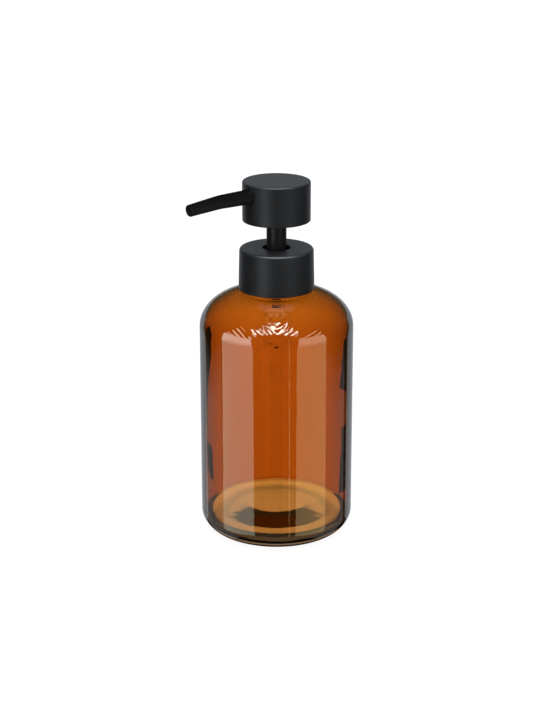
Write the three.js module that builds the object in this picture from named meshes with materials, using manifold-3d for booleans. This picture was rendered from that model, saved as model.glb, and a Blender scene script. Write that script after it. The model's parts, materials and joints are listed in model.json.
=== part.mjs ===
// Soap pump dispenser: a clear glass bottle with a thick base and a press pump.
// Millimetres. The bottle's axis is Z, its resting plane is Z = 0 and the spout points along -Y.

import * as THREE from 'three';
import { mergeVertices } from 'three/addons/utils/BufferGeometryUtils.js';
import Module from 'manifold-3d';

const wasm = await Module();
wasm.setup();

// ---------------------------------------------------------------- driving dimensions

const BOTTLE = {
  radius: 36.5,
  heel: 9.4,             // round at the foot of the wall
  shoulderZ: 101.9,      // where the straight wall ends
  shoulderRise: 17.3,    // height of the quarter-ellipse shoulder
  shoulderRun: 23.0,     // how far that shoulder comes in
  wall: 2.2,
  floor: 9.0,            // thickness of the base
  floorRound: 2.6,       // inside round between the floor and the wall
};

const NECK = {
  radius: 12.6,
  bore: 9.6,
  lipZ: 133.3,
  threadHeight: 1.15,    // how far the thread stands out of the neck
  pitch: 4.233,          // six turns to the inch
  threadTurns: 1.5,
  threadTopZ: 130.6,
};

const COLLAR = { topRadius: 17.47, footRadius: 17.88, topZ: 140.2, footZ: 120.5, wall: 0.9, edge: 1.5, hole: 6.55 };
const CAP = { radius: 16.3, topZ: 137.3, web: 1.4, footZ: 121.3, hole: 8.4, threadRoot: 13.95, threadCrest: 12.9 };
const HEAD = { radius: 15.95, topZ: 172.1, footZ: 153.3, wall: 0.8, edge: 0.9 };
const SPOUT = {
  z: 166.7, startY: 9.0, bendY: 31.0, tipY: 49.7,
  droop: 5 * Math.PI / 180,
  bendRadius: 40,
  rootRadius: 3.45, tipRadius: 2.75, bore: 1.8,
};
const STEM = { sleeveRadius: 4.7, sleeveBore: 4.05, tubeRadius: 3.95, tubeBore: 1.9, footZ: 120.3, topZ: 161.0 };
const PUMP = {
  flangeZ: 134.3, flangeTopZ: 135.8, flangeRadius: 12.9,
  cupRadius: 8.2, cupBore: 7.15, cupFloorZ: 127.0,
  bodyRadius: 6.6, bodyBore: 5.62,
  ledgeZ: 92.0,          // where the spring stands
  chamberBore: 2.9, seatZ: 86.6, seatBore: 1.5,
  socketRadius: 4.1, socketBore: 2.95, socketTopZ: 84.0, footZ: 74.0,
};
const TUBE = { radius: 2.9, bore: 2.1, topZ: 83.7, footZ: 12.8 };
const SPRING = { wire: 0.45, radius: 4.7, footZ: 93.35, topZ: 112.9, turns: 7 };
const BALL = { radius: 2.2, z: 88.5 };
const RUN = 0.08;        // radial clearance between a turning or sliding piece and its guide

const ROUND = 36;        // facets around the large turned pieces
const SMALL = 20;        // facets around the small ones

// ---------------------------------------------------------------- finishes

const FINISHES = {
  glass: { color: 0xb0560c, roughness: 0.05, metalness: 0 },
  black_metal: { color: 0x1c1c1d, roughness: 0.45, metalness: 0.6 },
  black_plastic: { color: 0x232324, roughness: 0.5, metalness: 0 },
  clear_plastic: { color: 0xd9dcd6, roughness: 0.3, metalness: 0 },
  soft_seal: { color: 0xdedbd0, roughness: 0.7, metalness: 0 },
};

// ---------------------------------------------------------------- helpers

// Welds a geometry's vertices and drops the empty triangles that welding leaves on the axis.
function weld(geometry) {
  const bare = geometry.clone();
  bare.deleteAttribute('normal');
  bare.deleteAttribute('uv');
  const merged = mergeVertices(bare, 1e-4);
  const kept = [];
  const index = merged.index.array;
  for (let i = 0; i < index.length; i += 3) {
    const [a, b, c] = [index[i], index[i + 1], index[i + 2]];
    if (a !== b && b !== c && c !== a) kept.push(a, b, c);
  }
  merged.setIndex(kept);
  return merged;
}

function toSolid(geometry) {
  const welded = weld(geometry);
  const vertProperties = Float32Array.from(welded.attributes.position.array);
  const triVerts = Uint32Array.from(welded.index.array);
  return new wasm.Manifold(new wasm.Mesh({ numProp: 3, vertProperties, triVerts }));
}

function fromSolid(solid) {
  const mesh = solid.getMesh();
  const geometry = new THREE.BufferGeometry();
  geometry.setAttribute('position', new THREE.BufferAttribute(Float32Array.from(mesh.vertProperties), 3));
  geometry.setIndex(Array.from(mesh.triVerts));
  return geometry;
}

// Points on an ellipse arc in the (radius, height) half plane, angles in degrees.
function arc(r, z, rx, rz, from, to, steps) {
  return Array.from({ length: steps + 1 }, (_, i) => {
    const a = THREE.MathUtils.degToRad(from + (to - from) * i / steps);
    return [r + rx * Math.cos(a), z + rz * Math.sin(a)];
  });
}

// Turns an outline of (radius, height) points, listed anticlockwise, about Z.
// An outline that doesn't touch the axis is closed on itself.
function turned(outline, facets = ROUND) {
  const touchesAxis = outline[0][0] === 0;
  const points = (touchesAxis ? outline : [...outline, outline[0]]).map(([r, z]) => new THREE.Vector2(r, z));
  return new THREE.LatheGeometry(points, facets).rotateX(Math.PI / 2);
}

// A plain tube between two heights.
function ring(outer, bore, footZ, topZ, facets = SMALL) {
  return turned([[bore, footZ], [outer, footZ], [outer, topZ], [bore, topZ]], facets);
}

function rod(radius, footZ, topZ, facets = SMALL) {
  return turned([[0, footZ], [radius, footZ], [radius, topZ], [0, topZ]], facets);
}

// A screw ridge of trapezoid section that fades out at both ends. Height is measured outwards from
// the radius, so a negative height makes the ridge of a nut. The ridge runs down from topZ.
function ridge({ radius, height, rootWidth, crestWidth, topZ, turns }) {
  const buried = -0.4 * Math.sign(height);
  const section = new THREE.Shape([
    new THREE.Vector2(buried, -rootWidth / 2),
    new THREE.Vector2(height, -crestWidth / 2),
    new THREE.Vector2(height, crestWidth / 2),
    new THREE.Vector2(buried, rootWidth / 2),
  ]);
  const steps = Math.round(turns * 20);
  const bar = new THREE.ExtrudeGeometry(section, { depth: turns, steps, bevelEnabled: false });
  const position = bar.attributes.position;
  const fade = 0.12;     // of a turn, at each end
  for (let i = 0; i < position.count; i += 1) {
    const along = position.getZ(i);
    const full = Math.min(1, along / fade, (turns - along) / fade);
    const out = position.getX(i);
    const proud = out * height > 0 ? out * (0.1 + 0.9 * full) : out;
    const angle = -2 * Math.PI * along;
    const r = radius + proud;
    position.setXYZ(i, r * Math.cos(angle), r * Math.sin(angle), topZ - NECK.pitch * along + position.getY(i));
  }
  return bar;
}

// The spout's centreline: level out of the head, then drooping towards the tip.
function spoutPoint(along) {
  const straight = SPOUT.bendY - SPOUT.startY;
  const { bendRadius } = SPOUT;
  const bendLength = bendRadius * SPOUT.droop;
  if (along <= straight) return { y: SPOUT.startY + along, z: SPOUT.z, tilt: 0 };
  const turn = Math.min(along - straight, bendLength) / bendRadius;
  const rest = Math.max(0, along - straight - bendLength);
  return {
    y: SPOUT.bendY + bendRadius * Math.sin(turn) + rest * Math.cos(turn),
    z: SPOUT.z - bendRadius * (1 - Math.cos(turn)) - rest * Math.sin(turn),
    tilt: turn,
  };
}

// Bends a turned piece, whose height is a distance along the spout, onto the spout's centreline.
function alongSpout(geometry) {
  const position = geometry.attributes.position;
  for (let i = 0; i < position.count; i += 1) {
    const { y, z, tilt } = spoutPoint(position.getZ(i));
    const side = position.getX(i);
    const up = position.getY(i);
    position.setXYZ(i, side, -(y + up * Math.sin(tilt)), z + up * Math.cos(tilt));
  }
  return geometry;
}

function lengthToY(y) {
  let along = 0;
  while (spoutPoint(along).y < y) along += 0.05;
  return along;
}

function drilled(body, ...holes) {
  let solid = toSolid(body);
  for (const hole of holes) solid = solid.subtract(toSolid(hole));
  return fromSolid(solid);
}

function joined(body, ...extras) {
  let solid = toSolid(body);
  for (const extra of extras) solid = solid.add(toSolid(extra));
  return fromSolid(solid);
}

// ---------------------------------------------------------------- glass bottle

function bottle() {
  const { radius, heel, shoulderZ, shoulderRise, shoulderRun, wall, floor, floorRound } = BOTTLE;
  const inner = radius - wall;
  const shoulderTopZ = shoulderZ + shoulderRise;
  const throatZ = shoulderTopZ - wall;
  const outline = [
    [0, 0],
    ...arc(radius - heel, heel, heel, heel, -90, 0, 5),
    ...arc(radius - shoulderRun, shoulderZ, shoulderRun, shoulderRise, 0, 90, 8),
    [NECK.radius + 0.25, shoulderTopZ + 0.35],
    [NECK.radius, shoulderTopZ + 1.1],
    [NECK.radius, NECK.lipZ - 0.5],
    [NECK.radius - 0.4, NECK.lipZ],
    [NECK.bore + 0.4, NECK.lipZ],
    [NECK.bore, NECK.lipZ - 0.5],
    [NECK.bore, throatZ + 1.4],
    [NECK.bore + 0.5, throatZ + 0.4],
    ...arc(radius - shoulderRun, shoulderZ, shoulderRun - wall, shoulderRise - wall, 90, 0, 6),
    ...arc(inner - floorRound, floor + floorRound, floorRound, floorRound, 0, -90, 3),
    [0, floor],
  ];
  const thread = ridge({
    radius: NECK.radius, height: NECK.threadHeight, rootWidth: 2.0, crestWidth: 1.0,
    topZ: NECK.threadTopZ, turns: NECK.threadTurns,
  });
  return joined(turned(outline), thread);
}

// ---------------------------------------------------------------- closure

// The painted overshell: a drawn cup with a rounded top edge and a hole for the stem.
function collarShell() {
  const { topRadius, footRadius, topZ, footZ, wall, edge, hole } = COLLAR;
  return turned([
    [footRadius - wall, footZ + 0.2],
    [footRadius - wall + 0.2, footZ],
    [footRadius - 0.2, footZ],
    [footRadius, footZ + 0.2],
    ...arc(topRadius - edge, topZ - edge, edge, edge, 0, 90, 3),
    [hole + 0.25, topZ],
    [hole, topZ - 0.25],
    [hole, topZ - wall],
    ...arc(topRadius - edge, topZ - edge, edge - wall, edge - wall, 90, 0, 1),
  ]);
}

// The screw cap inside the overshell, whose thread runs under the neck's thread.
function screwCap() {
  const { radius, topZ, web, footZ, hole, threadRoot, threadCrest } = CAP;
  const body = turned([
    [threadRoot + 0.3, footZ],
    [radius, footZ],
    [radius, topZ - 0.6],
    [radius - 0.6, topZ],
    [hole, topZ],
    [hole, topZ - web],
    [threadRoot, topZ - web],
    [threadRoot, footZ + 0.3],
  ]);
  const thread = ridge({
    radius: threadRoot, height: threadCrest - threadRoot, rootWidth: 1.7, crestWidth: 0.8,
    topZ: NECK.threadTopZ - 1.65, turns: NECK.threadTurns - 0.1,
  });
  return joined(body, thread);
}

// ---------------------------------------------------------------- pump body

// Cup with a flange that sits on the lip, a straight cylinder, a ball chamber and the tube's socket.
function pumpHousing() {
  const p = PUMP;
  const body = turned([
    [p.socketBore, p.footZ],
    [p.socketRadius - 0.3, p.footZ],
    [p.socketRadius, p.footZ + 0.3],
    [p.socketRadius, p.seatZ + 0.6],
    [p.bodyRadius, p.ledgeZ - 1.0],
    [p.bodyRadius, p.cupFloorZ - 2.4],
    [p.cupRadius, p.cupFloorZ - 0.8],
    [p.cupRadius, p.flangeZ],
    [p.flangeRadius, p.flangeZ],
    [p.flangeRadius, p.flangeTopZ],
    [p.cupRadius, p.flangeTopZ],
    [p.cupRadius, CAP.topZ],
    [p.cupBore, CAP.topZ],
    [p.cupBore, p.cupFloorZ],
    [p.bodyBore, p.cupFloorZ],
    [p.bodyBore, p.ledgeZ],
    [p.chamberBore, p.ledgeZ],
    [p.chamberBore, p.seatZ + 1.2],
    [p.seatBore, p.seatZ],
    [p.seatBore, p.socketTopZ],
    [p.socketBore, p.socketTopZ],
  ], SMALL);
  const vent = rod(0.6, p.bodyBore - 1, p.bodyRadius + 1, 8).rotateY(Math.PI / 2).translate(0, 0, 123.2);
  return drilled(body, vent);
}

// The ring that closes the cup and guides the stem. Its flange shows inside the collar's hole.
function guideRing() {
  const bore = STEM.sleeveRadius + RUN;
  const skirt = PUMP.cupBore - RUN;
  return turned([
    [bore, 130.2],
    [skirt - 0.3, 130.2],
    [skirt, 130.5],
    [skirt, CAP.topZ + 0.05],
    [10.2, CAP.topZ + 0.05],
    [10.2, 138.2],
    [9.8, 138.6],
    [bore + 0.3, 138.6],
    [bore, 138.3],
  ], SMALL);
}

// Soft lip ring under the guide ring: it wipes the stem and keeps water out of the cup.
function stemWiper() {
  return turned([
    [STEM.sleeveRadius + 0.6, 128.6],
    [PUMP.cupBore - 0.05, 128.6],
    [PUMP.cupBore - 0.05, 130.1],
    [STEM.sleeveRadius + RUN, 130.1],
    [STEM.sleeveRadius + RUN, 129.6],
  ], SMALL);
}

// Cut square at the top and at a slant at the foot, so that the floor can't seal it.
function dipTube() {
  const { radius, bore, topZ, footZ } = TUBE;
  const slant = new THREE.BoxGeometry(20, 20, 10).translate(0, 0, -5).rotateX(Math.PI / 5).translate(0, 0, footZ + 2.1);
  return drilled(ring(radius, bore, footZ, topZ, 24), slant);
}

// Seat for the spring with three slots for the soap, above the inlet ball.
function ballRetainer() {
  const z = PUMP.ledgeZ + 0.03;
  const body = turned([[1.6, z], [5.5, z], [5.5, z + 0.9], [2.4, z + 0.9], [1.6, z + 0.5]], SMALL);
  const slots = [0, 1, 2].map((i) => new THREE.BoxGeometry(3.4, 0.9, 4)
    .translate(2.6, 0, z)
    .rotateZ(i * 2 * Math.PI / 3));
  return drilled(body, ...slots);
}

function inletBall() {
  return new THREE.SphereGeometry(BALL.radius, 16, 10).rotateX(Math.PI / 2).translate(0, 0, BALL.z);
}

// Compression spring between the retainer and the piston rod's disc.
class SpringLine extends THREE.Curve {
  getPoint(t, target = new THREE.Vector3()) {
    const angle = 2 * Math.PI * SPRING.turns * t;
    const [low, high] = [SPRING.footZ + SPRING.wire / 2, SPRING.topZ - SPRING.wire / 2];
    return target.set(SPRING.radius * Math.cos(angle), SPRING.radius * Math.sin(angle), low + (high - low) * t);
  }
}

function returnSpring() {
  const wire = new THREE.Shape();
  wire.absarc(0, 0, SPRING.wire, 0, 2 * Math.PI, false);
  return new THREE.ExtrudeGeometry(wire, {
    steps: SPRING.turns * 10, curveSegments: 3, bevelEnabled: false, extrudePath: new SpringLine(),
  });
}

// ---------------------------------------------------------------- moving pump pieces

// Rod that closes the piston's ports: a disc that takes the spring and a stalk up into the stem.
function pistonRod() {
  return turned([
    [0, 106.5],
    [1.6, 106.5],
    [2.2, 107.2],
    [2.2, 113.1],
    [5.0, 113.1],
    [5.0, 113.9],
    [3.3, 115.2],
    [1.7, 115.2],
    [1.7, 124.5],
    [1.2, 125.2],
    [0, 125.2],
  ], 24);
}

// Soft piston with an upper and a lower lip, loose on the stem by the piston's slip.
function piston() {
  const lip = PUMP.bodyBore - 0.05;
  return turned([
    [2.3, 115.3],
    [3.6, 115.3],
    [lip - 0.35, 114.3],
    [lip, 114.3],
    [lip - 0.3, 116.4],
    [lip - 0.75, 117.4],
    [lip - 0.75, 120.4],
    [lip - 0.2, 122.6],
    [lip - 0.55, 122.6],
    [4.7, 121.2],
    [STEM.tubeRadius + RUN, 121.2],
    [STEM.tubeRadius + RUN, 119.4],
    [2.3, 119.4],
  ], SMALL);
}

function stemTube() {
  return ring(STEM.tubeRadius, STEM.tubeBore, STEM.footZ, STEM.topZ, SMALL);
}

// Painted sleeve over the stem. Its foot flange stops under the guide ring's wiper.
function stemSleeve() {
  return turned([
    [STEM.sleeveBore, 126.9],
    [5.3, 126.9],
    [5.3, 128.3],
    [STEM.sleeveRadius, 128.3],
    [STEM.sleeveRadius, 157.0],
    [STEM.sleeveBore, 157.0],
  ], SMALL);
}

// ---------------------------------------------------------------- press head and spout

// Drawn metal cup with a hole in its side for the spout.
function headShell() {
  const { radius, topZ, footZ, wall, edge } = HEAD;
  const inner = radius - wall;
  const cup = turned([
    [0, topZ - wall],
    [inner - 0.3, topZ - wall],
    [inner, topZ - wall - 0.3],
    [inner, footZ],
    [radius - 0.15, footZ],
    [radius, footZ + 0.15],
    ...arc(radius - edge, topZ - edge, edge, edge, 0, 90, 3),
    [0, topZ],
  ]);
  const hole = rod(SPOUT.rootRadius + 0.15, 0, 30, 24).rotateX(Math.PI / 2).translate(0, 0, SPOUT.z);
  return drilled(cup, hole);
}

// Moulded plug in the cup: it grips the stem and turns the soap's way into the spout.
function headCore() {
  const outer = HEAD.radius - HEAD.wall - 0.1;
  const topZ = HEAD.topZ - HEAD.wall - 0.1;
  const body = turned([
    [0, 155.2],
    [6.8, 155.2],
    [7.4, 168.0],
    [12.9, 168.0],
    [13.3, 155.2],
    [outer, 155.2],
    [outer, topZ - 0.4],
    [outer - 0.4, topZ],
    [0, topZ],
  ]);
  const boss = new THREE.BoxGeometry(9.6, 9.0, 13.4).translate(0, -9.4, 162.5);
  const sleeveSocket = rod(STEM.sleeveRadius + 0.05, 150, 157.1);
  const tubeSocket = rod(STEM.tubeRadius + 0.05, 150, 161.1);
  const riser = rod(1.6, 150, SPOUT.z, 16);
  const outlet = rod(1.3, 0, 30, 16).rotateX(Math.PI / 2).translate(0, 0, SPOUT.z);
  const spoutSocket = rod(SPOUT.rootRadius + 0.06, SPOUT.startY - 0.1, 30, 24)
    .rotateX(Math.PI / 2)
    .translate(0, 0, SPOUT.z);
  return fromSolid(toSolid(body)
    .add(toSolid(boss))
    .subtract(toSolid(sleeveSocket))
    .subtract(toSolid(tubeSocket))
    .subtract(toSolid(riser))
    .subtract(toSolid(outlet))
    .subtract(toSolid(spoutSocket)));
}

// Flat disc that closes the head from below, round the stem.
function headBasePlate() {
  const outer = HEAD.radius - HEAD.wall - 0.1;
  return ring(outer, STEM.sleeveRadius + 0.05, 153.8, 155.1, ROUND);
}

function spoutTube() {
  const length = lengthToY(SPOUT.tipY);
  const { rootRadius, tipRadius, bore } = SPOUT;
  const straight = SPOUT.bendY - SPOUT.startY;
  const stations = [0, straight, straight + 1.1, straight + 2.2, straight + 3.5, length - 0.3];
  const taper = (s) => rootRadius + (tipRadius - rootRadius) * Math.max(0, (s - 7) / (length - 7)) ** 1.3;
  const outside = stations.map((s) => [taper(s), s]);
  const inside = stations.slice(1).reverse().map((s) => [bore, s]);
  return alongSpout(turned([
    [bore, 0],
    ...outside,
    [tipRadius - 0.25, length],
    [bore + 0.15, length],
    ...inside,
  ], 24));
}

function spoutLiner() {
  const length = lengthToY(SPOUT.tipY) - 0.5;
  const straight = SPOUT.bendY - SPOUT.startY;
  const stations = [0.1, straight, straight + 1.1, straight + 2.2, straight + 3.5, length];
  const [outer, bore] = [SPOUT.bore - 0.06, 1.05];
  return alongSpout(turned([
    ...stations.map((s) => [outer, s]),
    ...stations.toReversed().map((s) => [bore, s]),
  ], 16));
}

// ---------------------------------------------------------------- assembly

const dispenser = new THREE.Group();

function place(parent, name, geometry, finish) {
  const mesh = new THREE.Mesh(geometry, new THREE.MeshStandardMaterial(FINISHES[finish]));
  mesh.name = name;
  parent.add(mesh);
}

function subassembly(pieces) {
  const group = new THREE.Group();
  for (const [name, geometry, finish] of pieces) place(group, name, geometry, finish);
  dispenser.add(group);
}

subassembly([
  ['bottle', bottle(), 'glass'],
]);

subassembly([
  ['neck_gasket', ring(12.8, 9.0, NECK.lipZ + 0.03, PUMP.flangeZ - 0.03, ROUND), 'soft_seal'],
  ['pump_housing', pumpHousing(), 'clear_plastic'],
  ['guide_ring', guideRing(), 'black_plastic'],
  ['stem_wiper', stemWiper(), 'soft_seal'],
  ['ball_retainer', ballRetainer(), 'clear_plastic'],
  ['return_spring', returnSpring(), 'clear_plastic'],
  ['dip_tube', dipTube(), 'clear_plastic'],
]);

subassembly([
  ['collar_shell', collarShell(), 'black_metal'],
  ['screw_cap', screwCap(), 'black_plastic'],
]);

subassembly([
  ['inlet_ball', inletBall(), 'clear_plastic'],
  ['piston_rod', pistonRod(), 'clear_plastic'],
  ['piston', piston(), 'clear_plastic'],
]);

subassembly([
  ['stem_tube', stemTube(), 'clear_plastic'],
  ['stem_sleeve', stemSleeve(), 'black_plastic'],
  ['head_base_plate', headBasePlate(), 'black_plastic'],
  ['head_core', headCore(), 'black_plastic'],
  ['head_shell', headShell(), 'black_metal'],
  ['spout_tube', spoutTube(), 'black_metal'],
  ['spout_liner', spoutLiner(), 'black_plastic'],
]);

export default dispenser;
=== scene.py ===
"""Soap pump dispenser: the looks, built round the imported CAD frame.

Metres. The bottle's axis is Z, it stands on z = 0 and the spout points along -Y.
"""

import json
import math

import bmesh
import bpy
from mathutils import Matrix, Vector, noise

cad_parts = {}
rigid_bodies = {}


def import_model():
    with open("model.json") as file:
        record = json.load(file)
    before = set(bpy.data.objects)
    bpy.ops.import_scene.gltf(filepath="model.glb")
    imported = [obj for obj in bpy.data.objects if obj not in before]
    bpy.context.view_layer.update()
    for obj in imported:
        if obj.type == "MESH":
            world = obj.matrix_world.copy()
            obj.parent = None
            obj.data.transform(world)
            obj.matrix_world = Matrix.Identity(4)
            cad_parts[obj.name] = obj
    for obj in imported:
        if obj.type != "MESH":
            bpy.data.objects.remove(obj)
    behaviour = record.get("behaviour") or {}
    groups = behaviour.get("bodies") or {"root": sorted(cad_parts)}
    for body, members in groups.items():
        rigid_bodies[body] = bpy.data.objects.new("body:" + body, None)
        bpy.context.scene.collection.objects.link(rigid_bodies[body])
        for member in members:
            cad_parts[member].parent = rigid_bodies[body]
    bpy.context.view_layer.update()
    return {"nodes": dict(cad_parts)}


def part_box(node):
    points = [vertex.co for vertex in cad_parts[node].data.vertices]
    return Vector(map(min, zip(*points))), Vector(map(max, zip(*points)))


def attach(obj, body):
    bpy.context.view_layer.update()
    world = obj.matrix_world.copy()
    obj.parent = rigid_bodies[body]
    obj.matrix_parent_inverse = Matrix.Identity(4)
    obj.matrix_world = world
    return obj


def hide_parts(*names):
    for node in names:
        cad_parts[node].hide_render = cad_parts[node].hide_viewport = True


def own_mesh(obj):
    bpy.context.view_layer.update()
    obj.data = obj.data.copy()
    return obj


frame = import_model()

MM = 0.001
TURN = 2 * math.pi
SHARP = math.radians(35)             # edges bent more than this stay hard
WELD = 0.001 * MM

# ------------------------------------------------------------------ sizes, read from the frame

BOTTLE_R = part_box("bottle")[1].x
LIP_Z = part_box("bottle")[1].z
COLLAR_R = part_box("collar_shell")[1].x
COLLAR_FOOT, COLLAR_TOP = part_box("collar_shell")[0].z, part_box("collar_shell")[1].z
CAP_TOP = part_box("screw_cap")[1].z
HEAD_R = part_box("head_shell")[1].x
HEAD_FOOT, HEAD_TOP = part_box("head_shell")[0].z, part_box("head_shell")[1].z
SLEEVE_FOOT, SLEEVE_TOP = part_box("stem_sleeve")[0].z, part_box("stem_sleeve")[1].z
GUIDE_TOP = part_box("guide_ring")[1].z
SPOUT_TIP_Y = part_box("spout_tube")[0].y

VIEW_AZIMUTH = math.radians(52)      # where the camera stands, counted from -Y towards +X


# ------------------------------------------------------------------ mesh helpers

def arc(r, z, rx, rz, start, end, steps):
    """Points on an ellipse arc in the half plane of radius and height. Angles are in degrees."""
    points = []
    for i in range(steps + 1):
        a = math.radians(start + (end - start) * i / steps)
        points.append((r + rx * math.cos(a), z + rz * math.sin(a)))
    return points


def between(a, b, steps):
    """The points after a, up to and with b, evenly spaced on a straight line."""
    return [(a[0] + (b[0] - a[0]) * i / steps, a[1] + (b[1] - a[1]) * i / steps)
            for i in range(1, steps + 1)]


def even_angles(count):
    return [TURN * i / count for i in range(count)]


def new_piece(name, vertices, faces, slots=None, sharp=SHARP):
    mesh = bpy.data.meshes.new(name)
    mesh.from_pydata(vertices, [], faces)
    mesh.validate()
    mesh.shade_smooth()
    mesh.set_sharp_from_angle(angle=sharp)
    if slots:
        for polygon, slot in zip(mesh.polygons, slots):
            polygon.material_index = slot
    piece = bpy.data.objects.new(name, mesh)
    bpy.context.scene.collection.objects.link(piece)
    return piece


def lathe(name, outline, angles, warp=None, slot_of=None, sharp=SHARP):
    """Turns an outline of (radius, height) points, listed anticlockwise, about Z.

    A point on the axis becomes a pole. warp(r, z, angle, row) moves a point in its half plane, and
    slot_of(row) is the material slot of the faces between that row and the next.
    """
    count = len(angles)
    vertices, rows = [], []
    for row, (r, z) in enumerate(outline):
        if r == 0:
            rows.append([len(vertices)] * count)
            vertices.append((0, 0, z))
            continue
        rows.append([len(vertices) + i for i in range(count)])
        for angle in angles:
            radius, height = warp(r, z, angle, row) if warp else (r, z)
            vertices.append((radius * math.cos(angle), radius * math.sin(angle), height))
    closed = outline[0][0] != 0
    faces, slots = [], []
    for row in range(len(rows) if closed else len(rows) - 1):
        low, high = rows[row], rows[(row + 1) % len(rows)]
        for i in range(count):
            j = (i + 1) % count
            corners = list(dict.fromkeys([low[i], low[j], high[j], high[i]]))
            faces.append(corners)
            slots.append(slot_of(row) if slot_of else 0)
    return new_piece(name, vertices, faces, slots, sharp)


def cut(piece, cutter):
    """Takes the cutter's volume out of the piece, for good, and removes the cutter."""
    modifier = piece.modifiers.new("cut", "BOOLEAN")
    modifier.operation = "DIFFERENCE"
    modifier.object = cutter
    modifier.solver = "EXACT"
    bpy.context.view_layer.update()
    result = bpy.data.meshes.new_from_object(piece.evaluated_get(bpy.context.evaluated_depsgraph_get()))
    piece.modifiers.clear()
    piece.data = result
    welded = bmesh.new()                 # the cut leaves a few edges under a micron long
    welded.from_mesh(result)
    bmesh.ops.remove_doubles(welded, verts=welded.verts, dist=WELD)
    welded.to_mesh(result)
    welded.free()
    result.shade_smooth()
    result.set_sharp_from_angle(angle=SHARP)
    bpy.data.objects.remove(cutter)


def finish_piece(piece, body, slot, materials, *nodes):
    """Gives a piece its materials and its body, and hides the CAD nodes it stands for."""
    for material in materials:
        piece.data.materials.append(material)
    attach(piece, body)
    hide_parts(*nodes)


# ------------------------------------------------------------------ material helpers

COLOUR_A, COLOUR_B, COLOUR_OUT = 6, 7, 2     # sockets of a Mix node that mixes colours


def add_node(tree, kind, inputs=None, **settings):
    node = tree.nodes.new(kind)
    for key, value in settings.items():
        setattr(node, key, value)
    for key, value in (inputs or {}).items():
        if isinstance(value, bpy.types.NodeSocket):
            tree.links.new(value, node.inputs[key])
        else:
            node.inputs[key].default_value = value
    return node


def new_material(name, **values):
    """A Principled material. Underscores in the names of values stand for spaces."""
    material = bpy.data.materials.new(name)
    material.use_nodes = True
    shader = material.node_tree.nodes["Principled BSDF"]
    for key, value in values.items():
        shader.inputs[key.replace("_", " ")].default_value = value
    place = material.node_tree.nodes.new("ShaderNodeTexCoord").outputs["Object"]
    return material, material.node_tree, shader, place


def speckle(tree, place, scale, detail=3.0, roughness=0.5):
    inputs = {"Vector": place, "Scale": scale, "Detail": detail, "Roughness": roughness}
    return add_node(tree, "ShaderNodeTexNoise", inputs).outputs["Fac"]


def ramp(tree, factor, stops):
    """A colour or grey ramp through (position, colour) stops."""
    node = add_node(tree, "ShaderNodeValToRGB", {"Fac": factor})
    elements = node.color_ramp.elements
    while len(elements) < len(stops):
        elements.new(0.5)
    while len(elements) > len(stops):
        elements.remove(elements[-1])
    for element, (position, colour) in zip(elements, stops):
        element.position = position
        element.color = colour if len(colour) == 4 else (*colour, 1)
    return node.outputs["Color"]


def blend(tree, factor, first, second):
    """Mixes from one colour to another. Either is a socket or four numbers."""
    inputs = {"Factor": factor, COLOUR_A: first, COLOUR_B: second}
    return add_node(tree, "ShaderNodeMix", inputs, data_type="RGBA").outputs[COLOUR_OUT]


def span(tree, factor, low, high):
    """Maps 0..1 to low..high."""
    inputs = {"Value": factor, "To Min": low, "To Max": high}
    return add_node(tree, "ShaderNodeMapRange", inputs).outputs["Result"]


def fraction(tree, value, start, end):
    """Maps start..end to 0..1, and stops there on both sides."""
    inputs = {"Value": value, "From Min": start, "From Max": end}
    return add_node(tree, "ShaderNodeMapRange", inputs).outputs["Result"]


def combine(tree, operation, a, b=0):
    """One Math node. Either side is a socket or a number."""
    return add_node(tree, "ShaderNodeMath", {0: a, 1: b}, operation=operation).outputs["Value"]


def between_heights(tree, height, low, high, soft):
    """1 from one height to the other, fading out over the soft distance beyond them."""
    rise = fraction(tree, height, low - soft, low)
    return combine(tree, "MULTIPLY", rise, fraction(tree, height, high + soft, high))


def facing_away(tree):
    """0 where the surface is seen square on, 1 at its rim."""
    return add_node(tree, "ShaderNodeLayerWeight", {"Blend": 0.5}).outputs["Facing"]


def drawn_out(tree, place, scale):
    """The place, with heights scaled down, so that a pattern read there is drawn out along Z."""
    return add_node(tree, "ShaderNodeMapping", {"Vector": place, "Scale": (1, 1, scale)}).outputs["Vector"]


def bump(tree, shader, height, distance, strength=1.0):
    inputs = {"Height": height, "Distance": distance, "Strength": strength}
    tree.links.new(add_node(tree, "ShaderNodeBump", inputs).outputs["Normal"], shader.inputs["Normal"])


# ------------------------------------------------------------------ materials

# The heel's colour below HEEL_TOP is painted shade where it is seen at a slant.
HEEL_TOP, HEEL_FULL = 5.4 * MM, 4.6 * MM            # where the heel's tint begins, and is full
WALL_TINT_SCALE = 50                                # turns a height in metres into a place on the tint's ramp
FILM_PAINTED_LIGHT_FROM, FILM_PAINTED_LIGHT_FULL = 106.5 * MM, 117.5 * MM      # where the film starts to turn to its lighter top colour, which is painted light, and is fully that colour
# Painted shade for the bearing ring where it is seen at a slant.
STIPPLE_PAINTED_SHADE = 0.05, 0.025, 0.012, 1

# The ripples are waves of height and of the distance sideways, whose phases are in radians per metre.
RIPPLE_RISE, RIPPLE_LEAN, RIPPLE_UNEVEN_LEAN = 2700, 1750, -550
RIPPLE_WANDER, RIPPLE_DEPTH = 9, 1.2
RIPPLE_LOW, RIPPLE_HIGH, RIPPLE_FADE = 108.5 * MM, 114.0 * MM, 2.5 * MM
RIPPLE_START, RIPPLE_FULL = 26.2 * MM, 29.5 * MM    # how far along VIEW_AZIMUTH they begin, and are full


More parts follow.
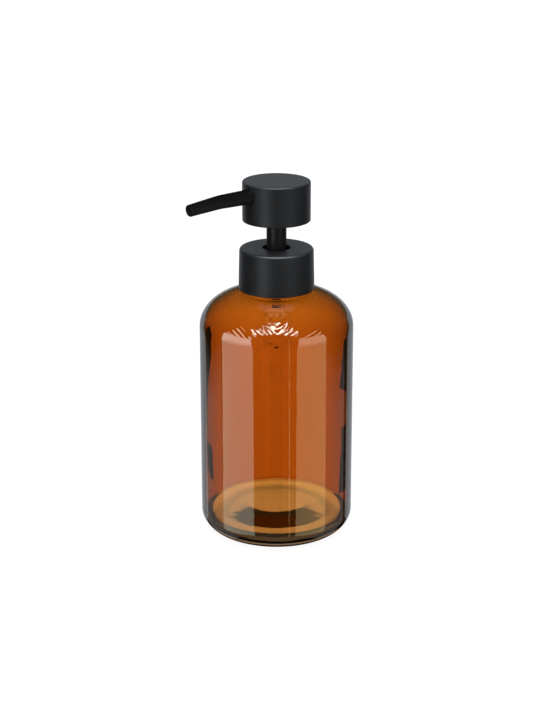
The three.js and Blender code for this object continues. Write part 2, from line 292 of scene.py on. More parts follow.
def clear_glass():
    """Bottle glass: amber brown, deeper in the lowest centimetre, with crossing press ripples on the shoulder.

    The ripples lie on two sides only, towards VIEW_AZIMUTH and opposite. The heel is clear when seen square
    on and dark at a slant: painted shade for the shaded ground under the bottle, seen the long way
    through the thick base.
    """
    material, tree, shader, place = new_material(
        "clear_glass", IOR=1.5, Transmission_Weight=1.0, Roughness=0.0)
    axes = add_node(tree, "ShaderNodeSeparateXYZ", {"Vector": place}).outputs
    # painted shade: the heel goes from clear to nearly black at a slant
    heel = ramp(tree, facing_away(tree), [(0.24, (1.0, 0.95, 0.68)), (0.36, (0.06, 0.03, 0.015))])
    wall = ramp(tree, combine(tree, "MULTIPLY", axes["Z"], WALL_TINT_SCALE), [
        (0.27, (0.50, 0.30, 0.14)), (0.47, (0.64, 0.37, 0.17)), (0.53, (0.85, 0.55, 0.27))])
    low = fraction(tree, axes["Z"], HEEL_TOP, HEEL_FULL)
    tree.links.new(blend(tree, low, wall, heel), shader.inputs["Base Color"])
    across = combine(tree, "SUBTRACT", combine(tree, "MULTIPLY", axes["X"], math.sin(VIEW_AZIMUTH)),
                     combine(tree, "MULTIPLY", axes["Y"], math.cos(VIEW_AZIMUTH)))
    sideways = combine(tree, "ADD", combine(tree, "MULTIPLY", axes["X"], math.cos(VIEW_AZIMUTH)),
                       combine(tree, "MULTIPLY", axes["Y"], math.sin(VIEW_AZIMUTH)))
    lean = combine(tree, "ADD", combine(tree, "MULTIPLY", combine(tree, "ABSOLUTE", sideways), RIPPLE_LEAN),
                   combine(tree, "MULTIPLY", sideways, RIPPLE_UNEVEN_LEAN))
    phase = combine(tree, "SUBTRACT", combine(tree, "MULTIPLY", axes["Z"], RIPPLE_RISE), lean)
    wander = combine(tree, "MULTIPLY", speckle(tree, place, 90, 1.0), RIPPLE_WANDER)
    lines = combine(tree, "SINE", combine(tree, "ADD", phase, wander))
    broken = combine(tree, "MULTIPLY", lines, speckle(tree, place, 260, 1.0))
    broken = combine(tree, "MULTIPLY", broken, RIPPLE_DEPTH)
    halves = fraction(tree, combine(tree, "ABSOLUTE", across), RIPPLE_START, RIPPLE_FULL)
    band = between_heights(tree, axes["Z"], RIPPLE_LOW, RIPPLE_HIGH, RIPPLE_FADE)
    patch = combine(tree, "MULTIPLY", halves, band)
    pressed = combine(tree, "MULTIPLY", combine(tree, "ADD", broken, speckle(tree, place, 600, 0.0)), patch)
    gentle = combine(tree, "MULTIPLY", speckle(tree, place, 55, 1.5), 0.6)
    bump(tree, shader, combine(tree, "ADD", gentle, pressed), 0.12 * MM)
    return material


def stippled_glass():
    """The bearing ring under the bottle, pressed with fine stippling. It turns dark at a slant: painted shade, as
    on the heel.
    """
    material, tree, shader, place = new_material("stippled_glass", IOR=1.5, Transmission_Weight=1.0)
    dots = speckle(tree, place, 1400, 2.0)
    pale = ramp(tree, dots, [(0.3, (0.93, 0.89, 0.66)), (0.7, (1.0, 0.97, 0.78))])
    # painted shade: the ring turns dark at a slant
    painted_shade_share = fraction(tree, facing_away(tree), 0.26, 0.38)
    tree.links.new(blend(tree, painted_shade_share, pale, STIPPLE_PAINTED_SHADE), shader.inputs["Base Color"])
    tree.links.new(span(tree, dots, 0.25, 0.45), shader.inputs["Roughness"])
    bump(tree, shader, dots, 0.12 * MM, 0.6)
    return material


def amber_film(name, thin, thick, slanted, top, roughness, waves):
    """Lacquer on the inside of the glass. It tints what passes, a little unevenly, in soft vertical runs.

    Its colour goes from thin to thick in the runs, to slanted where it is seen at a slant, and to top near
    the neck, a lighter gold there that is painted light. waves is the height of the dimples in the glass under it.
    """
    material, tree, shader, place = new_material(
        name, IOR=1.5, Transmission_Weight=1.0, Roughness=roughness, Specular_Tint=(0.60, 0.72, 0.28, 1))
    stretched = drawn_out(tree, place, 0.25)
    drawn = drawn_out(tree, place, 0.02)
    runs = combine(tree, "ADD", combine(tree, "MULTIPLY", speckle(tree, stretched, 26, 4.0, 0.55), 0.6),
                   combine(tree, "MULTIPLY", speckle(tree, drawn, 420, 3.0, 0.6), 0.4))
    coat = ramp(tree, runs, [(0.35, thin), (0.65, thick)])
    height = add_node(tree, "ShaderNodeSeparateXYZ", {"Vector": place}).outputs["Z"]
    # painted light: the coat turns to the lighter top colour towards the neck
    coat = blend(tree, fraction(tree, height, FILM_PAINTED_LIGHT_FROM, FILM_PAINTED_LIGHT_FULL), coat, (*top, 1))
    tree.links.new(blend(tree, facing_away(tree), coat, (*slanted, 1)), shader.inputs["Base Color"])
    bump(tree, shader, speckle(tree, place, 170, 2.0), waves)
    return material


def black_paint():
    """Satin powder paint on the drawn metal shells."""
    material, tree, shader, place = new_material("black_paint", IOR=1.5)
    fine = speckle(tree, place, 2600, 2.0)
    broad = speckle(tree, place, 60, 3.0)
    tree.links.new(ramp(tree, broad, [(0.3, (0.0062, 0.0065, 0.0070)), (0.7, (0.0080, 0.0084, 0.0090))]),
                   shader.inputs["Base Color"])
    tree.links.new(span(tree, broad, 0.40, 0.48), shader.inputs["Roughness"])
    bump(tree, shader, fine, 0.03 * MM, 0.35)
    return material


def black_plastic():
    """Moulded black plastic: softer than the paint, with a fine spark-eroded grain."""
    material, tree, shader, place = new_material("black_moulding", IOR=1.47)
    grain = speckle(tree, place, 3800, 3.0, 0.6)
    broad = speckle(tree, place, 90, 2.0)
    tree.links.new(ramp(tree, broad, [(0.3, (0.0078, 0.0079, 0.0082)), (0.7, (0.0102, 0.0103, 0.0107))]),
                   shader.inputs["Base Color"])
    tree.links.new(span(tree, grain, 0.36, 0.48), shader.inputs["Roughness"])
    bump(tree, shader, grain, 0.03 * MM, 0.4)
    return material


def seal_rubber():
    """Soft undyed seal: milky, with faint flow marks."""
    material, tree, shader, place = new_material(
        "soft_seal", IOR=1.5, Subsurface_Weight=0.3, Subsurface_Scale=2 * MM)
    marks = speckle(tree, drawn_out(tree, place, 0.15), 260, 3.0)
    tree.links.new(ramp(tree, marks, [(0.3, (0.74, 0.72, 0.66)), (0.7, (0.82, 0.80, 0.74))]),
                   shader.inputs["Base Color"])
    tree.links.new(span(tree, marks, 0.55, 0.68), shader.inputs["Roughness"])
    bump(tree, shader, marks, 0.04 * MM, 0.3)
    return material


def clear_plastic():
    """Thin clear tubing, which hardly bends what is seen through it."""
    material, tree, shader, place = new_material(
        "clear_tubing", IOR=1.012, Transmission_Weight=1.0, Roughness=0.0)
    marks = speckle(tree, place, 300, 3.0)
    tree.links.new(ramp(tree, marks, [(0.3, (0.97, 0.97, 0.965)), (0.7, (0.99, 0.99, 0.985))]),
                   shader.inputs["Base Color"])
    bump(tree, shader, marks, 0.02 * MM, 0.3)
    return material


GLASS = clear_glass()
STIPPLED = stippled_glass()
# FILM's top colour is painted light, a lighter gold under the collar.
FILM = amber_film(
    "amber_film", thin=(0.56, 0.158, 0.016), thick=(0.46, 0.118, 0.011), slanted=(0.14, 0.026, 0.0008),
    top=(0.78, 0.36, 0.03), roughness=0.0, waves=0.02 * MM)
FLOOR_FILM = amber_film(
    "floor_film", thin=(0.95, 0.93, 0.84), thick=(0.90, 0.86, 0.74), slanted=(0.88, 0.8, 0.66),
    top=(0.9, 0.9, 0.8), roughness=0.05, waves=0.09 * MM)
PAINT = black_paint()
MOULDING = black_plastic()
SEAL = seal_rubber()
TUBING = clear_plastic()


# ------------------------------------------------------------------ glass bottle

GLASS_WALL = 2.2 * MM
HEEL = 9.4 * MM
SHOULDER_Z, SHOULDER_RUN, SHOULDER_RISE = 101.9 * MM, 23.0 * MM, 17.3 * MM
NECK_R, NECK_BORE = 12.6 * MM, 9.6 * MM
THREAD = {"pitch": 4.233 * MM, "height": 1.15 * MM, "top": 130.6 * MM, "turns": 1.5,
          "fade": 0.12, "half_width": 1.1 * MM, "steepness": 1.9}
FLOOR_Z, FLOOR_ROUND = 9.0 * MM, 1.2 * MM
FLOOR_RISE, RISE_FOOT, RISE_TOP = 3.0 * MM, 28 * MM, 13 * MM   # the floor inside is pushed up in the middle
SEAM_ANGLE = VIEW_AZIMUTH - math.pi / 2 + math.radians(9)   # polar angle of one parting line of the mould
SEAM_HEIGHT, SEAM_WIDTH = 0.042 * MM, 0.22 * MM
UNEVEN, UNEVEN_ROUND, UNEVEN_UP = 0.28 * MM, 22, 16   # how far the inner wall wanders, and how often per metre
BOTTLE_STEPS = 192
CLEAR, COATED, BASE, STIPPLE = range(4)               # the bottle's material slots


def bottle_angles():
    """Even steps round the bottle, with a few close together at the two parting lines of the mould."""
    angles = even_angles(BOTTLE_STEPS)
    step = TURN / BOTTLE_STEPS
    for seam in (SEAM_ANGLE % TURN, (SEAM_ANGLE + math.pi) % TURN):
        angles = [a for a in angles if abs((a - seam + math.pi) % TURN - math.pi) > 0.6 * step]
        angles += [(seam + offset * SEAM_WIDTH / BOTTLE_R) % TURN for offset in (-1.0, -0.5, 0.0, 0.5, 1.0)]
    return sorted(angles)


def seam_rise(angle):
    """How far the parting line stands out at this angle."""
    gap = min(abs((angle - seam + math.pi) % TURN - math.pi) for seam in (SEAM_ANGLE, SEAM_ANGLE + math.pi))
    return SEAM_HEIGHT * max(0.0, 1 - gap * BOTTLE_R / SEAM_WIDTH)


def thread_rise(z, angle):
    """How far the screw thread stands out of the neck: a rounded ridge that fades at both ends."""
    best = 0.0
    for winding in range(math.ceil(THREAD["turns"])):
        along = winding + (-angle % TURN) / TURN
        if along > THREAD["turns"]:
            continue
        fade = min(1, along / THREAD["fade"], (THREAD["turns"] - along) / THREAD["fade"])
        off = abs(z - (THREAD["top"] - THREAD["pitch"] * along)) / THREAD["half_width"]
        if off < 1:
            best = max(best, THREAD["height"] * fade * min(1, THREAD["steepness"] * (1 - off)))
    return best


def floor_swell(r):
    """How far the floor inside stands above its edge: an even slope with rounded ends."""
    share = min(1.0, max(0.0, (RISE_FOOT - r) / (RISE_FOOT - RISE_TOP)))
    soft = 0.12
    if share < soft:
        share = share * share / (2 * soft)
    elif share > 1 - soft:
        share = 1 - soft - (1 - share) ** 2 / (2 * soft)
    else:
        share -= soft / 2
    return FLOOR_RISE * share / (1 - soft)


def build_bottle():
    shoulder_r = BOTTLE_R - SHOULDER_RUN
    shoulder_top = SHOULDER_Z + SHOULDER_RISE
    inner = BOTTLE_R - GLASS_WALL
    heel_r = BOTTLE_R - HEEL
    ring_r, recess = 22 * MM, 0.35 * MM
    fillet, lip, throat_round = 1.2 * MM, 0.5 * MM, 1.5 * MM
    outside = [(0, recess), (ring_r * 0.4, recess), (ring_r * 0.8, recess), (ring_r, 0.25 * MM)]
    stipple_start = len(outside) - 1
    outside += between(outside[-1], (heel_r, 0), 4)[:-1]
    outside += arc(heel_r, HEEL, HEEL, HEEL, -90, 0, 18)
    stipple_end = stipple_start + 8
    outside += between(outside[-1], (BOTTLE_R, SHOULDER_Z), 30)[:-1]
    outside += arc(shoulder_r, SHOULDER_Z, SHOULDER_RUN, SHOULDER_RISE, 0, 88, 30)
    neck_foot = (NECK_R, shoulder_top + fillet)
    outside += arc(NECK_R + fillet, neck_foot[1], fillet, fillet, 255, 180, 5)
    neck_start = len(outside)
    outside += between(neck_foot, (NECK_R, LIP_Z - lip), 44)
    neck_end = len(outside)
    outside += arc(NECK_R - lip, LIP_Z - lip, lip, lip, 0, 90, 4)[1:]
    inside = arc(NECK_BORE + lip, LIP_Z - lip, lip, lip, 90, 180, 4)
    throat = shoulder_top - GLASS_WALL + throat_round
    inside += between(inside[-1], (NECK_BORE, throat), 4)
    film_start = len(outside) + len(inside) - 2
    inside += arc(NECK_BORE + throat_round, throat, throat_round, throat_round, 180, 262, 5)[1:]
    inside += arc(shoulder_r, SHOULDER_Z, SHOULDER_RUN - GLASS_WALL, SHOULDER_RISE - GLASS_WALL, 84, 0, 28)
    inside += between(inside[-1], (inner, FLOOR_Z + FLOOR_ROUND), 30)[:-1]
    inside += arc(inner - FLOOR_ROUND, FLOOR_Z + FLOOR_ROUND, FLOOR_ROUND, FLOOR_ROUND, 0, -90, 12)
    floor_start = len(outside) + len(inside) - 7     # halfway round the corner
    floor_edge, floor_steps = inner - FLOOR_ROUND, 40
    for i in range(1, floor_steps):
        r = floor_edge * (1 - i / floor_steps)
        inside.append((r, FLOOR_Z + floor_swell(r)))
    inside += [(0, FLOOR_Z + FLOOR_RISE)]
    outline = outside + inside
    inside_start = len(outside)

    def warp(r, z, angle, row):
        if row < inside_start:
            if neck_start <= row < neck_end:
                return r + thread_rise(z, angle), z
            if not HEEL * 0.5 < z < shoulder_top - 1 * MM:
                return r, z
            tilt = math.asin(max(0.0, min(1.0, (z - SHOULDER_Z) / SHOULDER_RISE)))
            rise = seam_rise(angle)
            return r + rise * math.cos(tilt), z + rise * math.sin(tilt)
        if row < film_start:
            return r, z
        spot = Vector((math.cos(angle), math.sin(angle), 0)) * (r * UNEVEN_ROUND)
        spot += Vector((0, 0, z * UNEVEN_UP))
        uneven = noise.noise(spot) * UNEVEN
        return (r + uneven, z) if row < floor_start else (r, z + 0.3 * uneven)

    def slot_of(row):
        if row >= floor_start or row < stipple_start:
            return BASE
        if row < stipple_end:
            return STIPPLE
        return COATED if row >= film_start else CLEAR

    bottle = lathe("glass_bottle", outline, bottle_angles(), warp, slot_of)
    finish_piece(bottle, "bottle", "amber_glass", [GLASS, FILM, FLOOR_FILM, STIPPLED], "bottle")


build_bottle()


# ------------------------------------------------------------------ closure

def build_overshell():
    wall, edge, hole = 0.9 * MM, 1.5 * MM, 6.55 * MM
    foot_edge, hole_edge, taper = 0.25 * MM, 0.3 * MM, 0.41 * MM
    top_r = COLLAR_R - taper
    foot_z = COLLAR_FOOT + foot_edge
    outline = [(COLLAR_R - wall, foot_z)]
    outline += arc(COLLAR_R - wall + foot_edge, foot_z, foot_edge, foot_edge, 180, 270, 4)[1:]
    outline += arc(COLLAR_R - foot_edge, foot_z, foot_edge, foot_edge, 270, 360, 4)
    outline += between(outline[-1], (top_r, COLLAR_TOP - edge), 10)[:-1]
    outline += arc(top_r - edge, COLLAR_TOP - edge, edge, edge, 0, 90, 10)
    outline += between(outline[-1], (hole + hole_edge, COLLAR_TOP), 4)[:-1]
    outline += arc(hole + hole_edge, COLLAR_TOP - hole_edge, hole_edge, hole_edge, 90, 180, 4)
    outline += [(hole, COLLAR_TOP - wall)]
    outline += arc(top_r - edge, COLLAR_TOP - edge, edge - wall, edge - wall, 90, 0, 4)
    shell = lathe("collar_overshell", outline, even_angles(128))
    finish_piece(shell, "closure", "black_metal", [PAINT], "collar_shell")


def build_guide_ring():
    bore, skirt, flange = 4.78 * MM, 7.07 * MM, 10.2 * MM
    edge, mouth, step = 0.4 * MM, 0.35 * MM, 0.12 * MM
    foot_z, flange_z = GUIDE_TOP - 8.4 * MM, CAP_TOP + 0.05 * MM
    outline = [
        (bore, foot_z), (skirt - 0.3 * MM, foot_z), (skirt, GUIDE_TOP - 8.1 * MM),
        (skirt, flange_z), (flange, flange_z), (flange, GUIDE_TOP - edge)]
    outline += arc(flange - edge, GUIDE_TOP - edge, edge, edge, 0, 90, 4)[1:]
    outline += [(6.0 * MM, GUIDE_TOP), (5.9 * MM, GUIDE_TOP - step), (5.4 * MM, GUIDE_TOP - step)]
    outline += arc(bore + mouth, GUIDE_TOP - mouth, mouth, mouth, 90, 180, 4)
    ring = lathe("guide_collar", outline, even_angles(96))
    finish_piece(ring, "pump_body", "black_plastic", [MOULDING], "guide_ring")


build_overshell()
build_guide_ring()


# ------------------------------------------------------------------ press head, stem and spout

SPOUT_Z = 166.7 * MM
SPOUT = {"start": 9.0 * MM, "bend": 31.0 * MM, "droop": math.radians(5), "bend_radius": 40 * MM,
         "root": 3.45 * MM, "tip": 2.75 * MM, "bore": 1.8 * MM,
         "hole": 3.6 * MM, "taper_start": 7 * MM, "taper_power": 1.3}


def build_head_cup():
    wall, edge, rim = 0.8 * MM, 0.9 * MM, 0.3 * MM
    inner, roof = HEAD_R - wall, HEAD_TOP - wall
    outline = [(0, roof), (inner * 0.5, roof)]
    outline += arc(inner - rim, roof - rim, rim, rim, 90, 0, 4)
    outline += [(inner, HEAD_FOOT + 0.2 * MM)]
    outline += arc(HEAD_R - rim, HEAD_FOOT + rim, rim, rim, 270, 360, 4)
    outline += between(outline[-1], (HEAD_R, HEAD_TOP - edge), 12)[:-1]
    outline += arc(HEAD_R - edge, HEAD_TOP - edge, edge, edge, 0, 90, 10)
    outline += [(HEAD_R * 0.6, HEAD_TOP), (HEAD_R * 0.3, HEAD_TOP), (0, HEAD_TOP)]
    cup = lathe("head_cup", outline, even_angles(144))
    hole, reach = SPOUT["hole"], 30 * MM
    cutter = lathe("spout_hole", [(0, 0), (hole, 0), (hole, reach), (0, reach)], even_angles(64))
    cutter.rotation_euler = (math.pi / 2, 0, 0)
    cutter.location = (0, 0, SPOUT_Z)
    cut(cup, cutter)
    finish_piece(cup, "head", "black_metal", [PAINT], "head_shell")


def spout_point(along):
    """Distance from the axis, height and downward tilt of the spout's centreline at a length along it."""
    straight = SPOUT["bend"] - SPOUT["start"]
    radius = SPOUT["bend_radius"]
    turn = min(max(0.0, along - straight), radius * SPOUT["droop"]) / radius
    rest = max(0.0, along - straight - radius * SPOUT["droop"])
    reach = SPOUT["start"] + min(along, straight) + radius * math.sin(turn) + rest * math.cos(turn)
    return reach, SPOUT_Z - radius * (1 - math.cos(turn)) - rest * math.sin(turn), turn


def spout_length():
    """The centreline's length, found from how far out the CAD spout reaches."""
    along = SPOUT["bend"] - SPOUT["start"]
    while spout_point(along)[0] < -SPOUT_TIP_Y - SPOUT["tip"] * math.sin(SPOUT["droop"]):
        along += 0.02 * MM
    return along


def bend_along_spout(piece):
    """Bends a turned piece, whose height is a length along the spout, onto the centreline."""
    for vertex in piece.data.vertices:
        side, up, along = vertex.co
        reach, height, tilt = spout_point(along)
        vertex.co = (side, -(reach + up * math.sin(tilt)), height + up * math.cos(tilt))
    return piece


def build_spout():
    length = spout_length()
    root, tip, bore, even = SPOUT["root"], SPOUT["tip"], SPOUT["bore"], SPOUT["taper_start"]
    edge, mouth = 0.35 * MM, 0.12 * MM
    steps, bore_steps, liner_steps = 60, 30, 40
    outside = []
    for i in range(steps + 1):
        along = (length - edge) * i / steps
        narrowing = max(0.0, (along - even) / (length - even)) ** SPOUT["taper_power"]
        outside.append((root + (tip - root) * narrowing, along))
    lip = outside[-1][0]
    outline = [(bore, 0)] + outside
    outline += arc(lip - edge, length - edge, edge, edge, 0, 90, 5)[1:]
    outline += arc(bore + mouth, length - mouth, mouth, mouth, 90, 180, 3)
    outline += [(bore, (length - 0.3 * MM) * (1 - i / bore_steps)) for i in range(1, bore_steps)]
    spout = bend_along_spout(lathe("spout", outline, even_angles(64)))
    finish_piece(spout, "head", "black_metal", [PAINT], "spout_tube")

    start, end, outer, inner = 0.1 * MM, length - 0.5 * MM, bore - 0.06 * MM, 1.05 * MM
    outline = [(outer, start + (end - start) * i / liner_steps) for i in range(liner_steps + 1)]
    outline += [(inner, start + (end - start) * (1 - i / liner_steps)) for i in range(liner_steps + 1)]
    liner = bend_along_spout(lathe("spout_lining", outline, even_angles(48)))
    finish_piece(liner, "head", "black_plastic", [MOULDING], "spout_liner")


def build_sleeve():
    radius, bore, flange, edge = 4.7 * MM, 4.05 * MM, 5.3 * MM, 0.2 * MM
    narrow = radius - 0.1 * MM           # the top, which goes up into the head
    flange_top = SLEEVE_FOOT + 1.4 * MM
    outline = [(bore, SLEEVE_FOOT), (flange - edge, SLEEVE_FOOT), (flange, SLEEVE_FOOT + edge),
               (flange, SLEEVE_FOOT + 1.2 * MM), (flange - edge, flange_top), (radius, flange_top)]
    outline += between(outline[-1], (radius, SLEEVE_TOP - 2.1 * MM), 12)
    outline += [(narrow, SLEEVE_TOP - 1.9 * MM), (narrow, SLEEVE_TOP - edge),
                (radius - 0.3 * MM, SLEEVE_TOP), (bore, SLEEVE_TOP)]
    sleeve = lathe("stem_cover", outline, even_angles(72))
    finish_piece(sleeve, "head", "black_plastic", [MOULDING], "stem_sleeve")


def build_base_plate():
    low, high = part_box("head_base_plate")[0].z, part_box("head_base_plate")[1].z
    outer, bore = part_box("head_base_plate")[1].x, 4.75 * MM
    edge, chamfer, groove = 0.3 * MM, 0.2 * MM, 0.35 * MM
    outline = [(bore, low + chamfer), (bore + chamfer, low), (8.0 * MM, low), (8.2 * MM, low + groove),
               (8.9 * MM, low + groove), (9.1 * MM, low), (outer - 0.5 * MM, low)]
    outline += arc(outer - edge, low + edge, edge, edge, 270, 360, 4)
    outline += [(outer, high), (bore, high)]
    plate = lathe("head_base", outline, even_angles(96))
    finish_piece(plate, "head", "black_plastic", [MOULDING], "head_base_plate")


build_head_cup()
build_spout()
build_sleeve()
build_base_plate()


# ------------------------------------------------------------------ pump inside the bottle

TUBE_CLEARANCE = 0.6 * MM            # least gap between the dip tube and the raised floor


def build_housing():
    """Socket for the dip tube, cylinder and cup, as (radius, height above the foot) in millimetres."""
    foot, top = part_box("pump_housing")[0].z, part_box("pump_housing")[1].z
    cup, mouth, flange = 8.2 * MM, 7.15 * MM, 12.9 * MM
    flange_low, flange_high = 134.3 * MM, 135.8 * MM
    outside = [
        (2.95, 0), (3.8, 0), (4.1, 0.3), (4.1, 12.9), (4.6, 14.2), (6.4, 17.0), (6.6, 17.6), (6.6, 26),
        (6.6, 38), (6.6, 50.2), (6.8, 50.8), (8.0, 52.0), (8.2, 52.6)]
    bore = [
        (7.15, 53.0), (5.62, 53.0), (5.62, 18.0), (2.9, 18.0), (2.9, 13.8), (1.5, 12.6), (1.5, 10.0),
        (2.95, 10.0)]
    outline = [(r * MM, foot + z * MM) for r, z in outside]
    outline += [(cup, flange_low), (flange, flange_low), (flange, flange_high), (cup, flange_high),
                (cup, top), (mouth, top)]
    outline += [(r * MM, foot + z * MM) for r, z in bore]
    housing = lathe("pump_cylinder", outline, even_angles(64), sharp=math.radians(28))
    finish_piece(housing, "pump_body", "clear_plastic", [TUBING], "pump_housing")


def build_dip_tube():
    """Tube whose lower end is cut off at a slant."""
    low, high = max(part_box("dip_tube")[0].z, FLOOR_Z + FLOOR_RISE + TUBE_CLEARANCE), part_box("dip_tube")[1].z
    outer, bore, steps = 2.9 * MM, 2.1 * MM, 24
    slant, slant_top = math.tan(math.radians(36)), low + 5 * MM

    def bevel(r, z, angle, row):
        return r, max(z, low + (r * math.sin(angle) + outer) * slant) if z < slant_top else z

    outline = [(bore, low), (outer, low)] + between((outer, slant_top), (outer, high), steps)
    outline += [(bore, high)] + between((bore, high), (bore, slant_top), steps)
    tube = lathe("suction_tube", outline, even_angles(40), bevel)
    finish_piece(tube, "pump_body", "clear_plastic", [TUBING], "dip_tube")


def build_spring():
    """Coil with closed ends."""
    low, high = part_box("return_spring")[0].z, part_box("return_spring")[1].z
    wire, radius, turns, sides = 0.45 * MM, 4.7 * MM, 8, 10
    rest = high - low
    vertices, faces, steps = [], [], turns * 36
    ends, end_rise = 2 * wire, 0.45      # the closed turn at each end climbs this share of two wires
    flat, easing = 0.8 / turns, 0.25

    def rise(t):
        """Share of the height at a share of the wire: the first and last turn lie flat."""
        middle = min(max((t - flat) / (1 - 2 * flat), 0), 1)
        return middle * middle * (3 - 2 * middle) * easing + middle * (1 - easing)

    for i in range(steps + 1):
        t = i / steps
        angle = TURN * turns * t
        height = low + wire + ends * min(t * turns, 1) * end_rise
        height += (rest - 2 * wire - ends * 2 * end_rise) * rise(t)
        height += ends * max(0, t * turns - turns + 1) * end_rise
        for k in range(sides):
            around = TURN * k / sides
            r = radius + wire * math.cos(around)
            vertices.append((r * math.cos(angle), r * math.sin(angle), height + wire * math.sin(around)))
    for i in range(steps):
        for k in range(sides):
            a, b = i * sides + k, i * sides + (k + 1) % sides
            faces.append([a, a + sides, b + sides, b])
    faces += [list(range(sides)), list(range(steps * sides + sides - 1, steps * sides - 1, -1))]
    spring = new_piece("coil_spring", vertices, faces)
    finish_piece(spring, "pump_body", "clear_plastic", [TUBING], "return_spring")
    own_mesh(spring)


build_housing()
build_dip_tube()
build_spring()


# ------------------------------------------------------------------ CAD nodes that stay

KEPT = {
    "neck_gasket": SEAL, "stem_wiper": SEAL, "piston": TUBING, "ball_retainer": TUBING, "piston_rod": TUBING,
    "stem_tube": TUBING, "inlet_ball": TUBING, "head_core": MOULDING, "screw_cap": MOULDING,
}
for name, material in KEPT.items():
    node = frame["nodes"][name]
    node.data.materials.clear()
    node.data.materials.append(material)


# ------------------------------------------------------------------ camera, light and floor

CAMERA_DISTANCE, CAMERA_HEIGHT = 0.80678, 0.36073
CAMERA_PITCH = 0.330
CAMERA_LENS = 89.25
CAMERA_SHIFT = -0.0090               # the bottle stands a little right of the middle
LIGHT_AIM = Vector((0, 0, 0.09))
WORLD_LIGHT, FLOOR_LIGHT = (1.15, 0.14), (0.92, 0.03)   # seen straight or through glass, and once mirrored
FLOOR_HALF = 4.0


def towards(azimuth, elevation=0.0):
    """Unit vector from the bottle. Azimuth is counted from the camera's side, positive to its right."""
    a = VIEW_AZIMUTH + azimuth
    level = math.cos(elevation)
    return Vector((math.sin(a) * level, -math.cos(a) * level, math.sin(elevation)))


def add_camera():
    data = bpy.data.cameras.new("camera")
    data.lens, data.sensor_width, data.shift_x = CAMERA_LENS, 36, CAMERA_SHIFT
    data.clip_start, data.clip_end = 0.01, 50
    camera = bpy.data.objects.new("camera", data)
    camera.location = towards(0) * CAMERA_DISTANCE + Vector((0, 0, CAMERA_HEIGHT))
    camera.rotation_euler = (math.pi / 2 - CAMERA_PITCH, 0, VIEW_AZIMUTH)
    bpy.context.scene.collection.objects.link(camera)
    bpy.context.scene.camera = camera


def add_softbox(name, azimuth, elevation, distance, width, height, shades, falls_on=None):
    """A rectangular soft light that faces the bottle. It isn't seen straight on or through glass.

    Angles are in degrees. shades are its radiances, as (share of its height, colour). With falls_on, it
    reaches that collection alone.
    """
    data = bpy.data.lights.new(name, "AREA")
    data.shape = "RECTANGLE"
    data.size, data.size_y = width, height
    data.energy = math.pi * width * height
    data.use_nodes = True
    tree = data.node_tree
    parametric = tree.nodes.new("ShaderNodeNewGeometry").outputs["Parametric"]
    place = add_node(tree, "ShaderNodeSeparateXYZ", {"Vector": parametric}).outputs
    tree.links.new(ramp(tree, place["Y"], shades), tree.nodes["Emission"].inputs["Color"])
    light = bpy.data.objects.new(name, data)
    direction = towards(math.radians(azimuth), math.radians(elevation))
    light.location = LIGHT_AIM + direction * distance
    light.rotation_euler = direction.to_track_quat("Z", "Y").to_euler()
    light.visible_camera = False
    light.visible_transmission = False
    if falls_on:
        light.light_linking.receiver_collection = falls_on
    bpy.context.scene.collection.objects.link(light)


def add_card(name, azimuth, corners):
    """A small dark card behind the bottle, seen only through the glass, where it draws a dark line along the edge.

    It stands edge on to the bottle, at an azimuth in degrees from straight behind. Corners are (distance, height).
    """
    # Painted shade: the card exists only to paint a dark refraction line in the glass.
    outward = towards(math.radians(180 - azimuth))
    vertices = [outward * distance + Vector((0, 0, height)) for distance, height in corners]
    card = new_piece(name, vertices, [list(range(len(corners)))])
    material, tree, shader, place = new_material(name, Roughness=0.9)
    shade = ramp(tree, speckle(tree, place, 40), [(0.3, (0.01, 0.01, 0.01)), (0.7, (0.02, 0.02, 0.02))])
    tree.links.new(shade, shader.inputs["Base Color"])
    card.data.materials.append(material)
    card.visible_camera = card.visible_glossy = card.visible_diffuse = card.visible_shadow = False


def unless_mirrored(tree, straight, mirrored):
    """One brightness straight on and through glass, another on a light path that has been mirrored."""
    depth = add_node(tree, "ShaderNodeLightPath").outputs["Glossy Depth"]
    return span(tree, combine(tree, "GREATER_THAN", depth, 0.5), straight, mirrored)


def add_world():
    world = bpy.data.worlds.new("studio")
    world.use_nodes = True
    background = world.node_tree.nodes["Background"]
    background.inputs["Color"].default_value = (1, 1, 1, 1)
    world.node_tree.links.new(unless_mirrored(world.node_tree, *WORLD_LIGHT), background.inputs["Strength"])
    world.cycles_visibility.glossy = False
    bpy.context.scene.world = world


def add_floor():
    corners = [(x * FLOOR_HALF, y * FLOOR_HALF, 0) for x, y in ((-1, -1), (1, -1), (1, 1), (-1, 1))]
    floor = new_piece("floor", corners, [[0, 1, 2, 3]])
    material, tree, shader, place = new_material("floor", Roughness=0.8)
    shade = ramp(tree, speckle(tree, place, 3, 2.0), [(0.3, (0.13, 0.13, 0.13)), (0.7, (0.16, 0.16, 0.16))])
    tree.links.new(shade, shader.inputs["Base Color"])
    shader.inputs["Emission Color"].default_value = (1, 1, 1, 1)
    tree.links.new(unless_mirrored(tree, *FLOOR_LIGHT), shader.inputs["Emission Strength"])
    floor.data.materials.append(material)
    floor.visible_glossy = False


add_camera()
add_world()
add_floor()

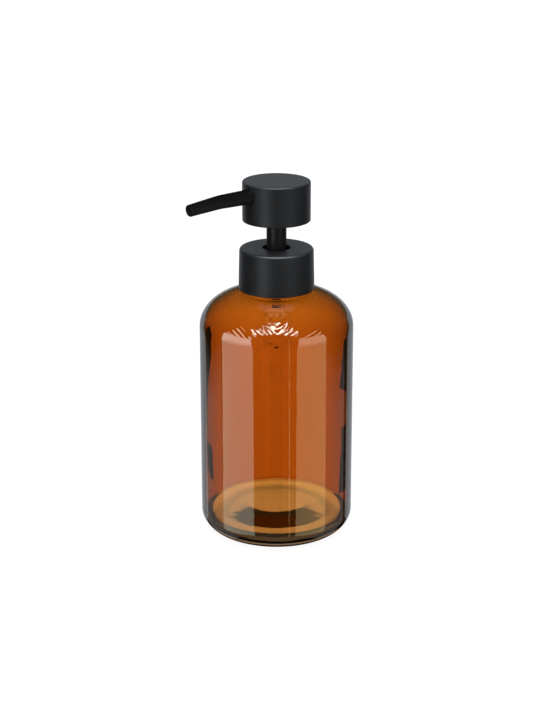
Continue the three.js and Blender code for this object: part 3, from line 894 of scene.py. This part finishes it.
# What the softboxes fall on: the bottle alone, everything else, and everything else but the spout.
glass_only = bpy.data.collections.new("glass_only")
black_only = bpy.data.collections.new("black_only")
black_tops = bpy.data.collections.new("black_tops")
for piece in list(bpy.context.scene.objects):
    if piece.type == "MESH" and piece.name != "floor":
        (glass_only if piece.name == "glass_bottle" else black_only).objects.link(piece)
        if piece.name not in ("glass_bottle", "spout"):
            black_tops.objects.link(piece)

add_softbox("left_softbox", -61, -12, 1.12, 1.05, 1.2, [
    (0.44, (2.42, 2.58, 2.05)), (0.70, (6.4, 6.4, 5.5))], glass_only)
add_softbox("right_softbox", 54, -12, 1.12, 0.95, 1.2, [
    (0.44, (2.50, 1.98, 1.00)), (0.70, (4.6, 3.9, 2.7))], glass_only)
add_softbox("left_side", -112, -38, 1.3, 1.0, 1.1, [
    (0.86, (0.40, 0.40, 0.40)), (0.93, (0, 0, 0))], glass_only)
add_softbox("right_side", 100, -38, 1.3, 1.0, 1.1, [
    (0.86, (0.36, 0.36, 0.36)), (0.93, (0, 0, 0))], glass_only)
add_softbox("glass_top", 0, 59, 1.2, 0.70, 0.34, [(0, (20, 23, 22))], glass_only)
add_softbox("left_satin", -40, -15, 1.2, 0.60, 0.9, [(0, (1.46, 1.5, 1.55))], black_only)
add_softbox("right_satin", 46, -15, 1.2, 0.8, 0.9, [(0, (0.38, 0.39, 0.41))], black_only)
add_softbox("satin_top", 0, 67, 1.2, 1.7, 0.6, [(0, (9.6, 10.2, 10.6))], black_tops)
add_softbox("back_satin", 180, 27, 1.6, 3.0, 1.0, [(0, (0.40, 0.44, 0.48))], black_tops)
add_softbox("back_panel", 180, -16, 1.6, 3.2, 1.2, [(0, (0.54, 0.57, 0.62))])
# Painted shade: these four cards paint dark refraction lines at the bottle's rims, seen through the glass only.
add_card("left_card", -38, [(0.068, 0.066), (0.120, 0.006), (0.160, 0.0), (0.160, 0.046), (0.068, 0.085)])
add_card("left_painted_shade_line", -38, [(0.064, 0.0), (0.110, 0.0), (0.110, 0.006), (0.070, 0.018)])
add_card("right_card", 52, [(0.046, 0.060), (0.075, 0.048), (0.075, 0.079), (0.052, 0.084)])
add_card("right_painted_shade_line", 52, [(0.044, 0.004), (0.075, 0.0), (0.075, 0.034), (0.050, 0.038)])
bpy.context.scene.view_settings.view_transform = "Standard"
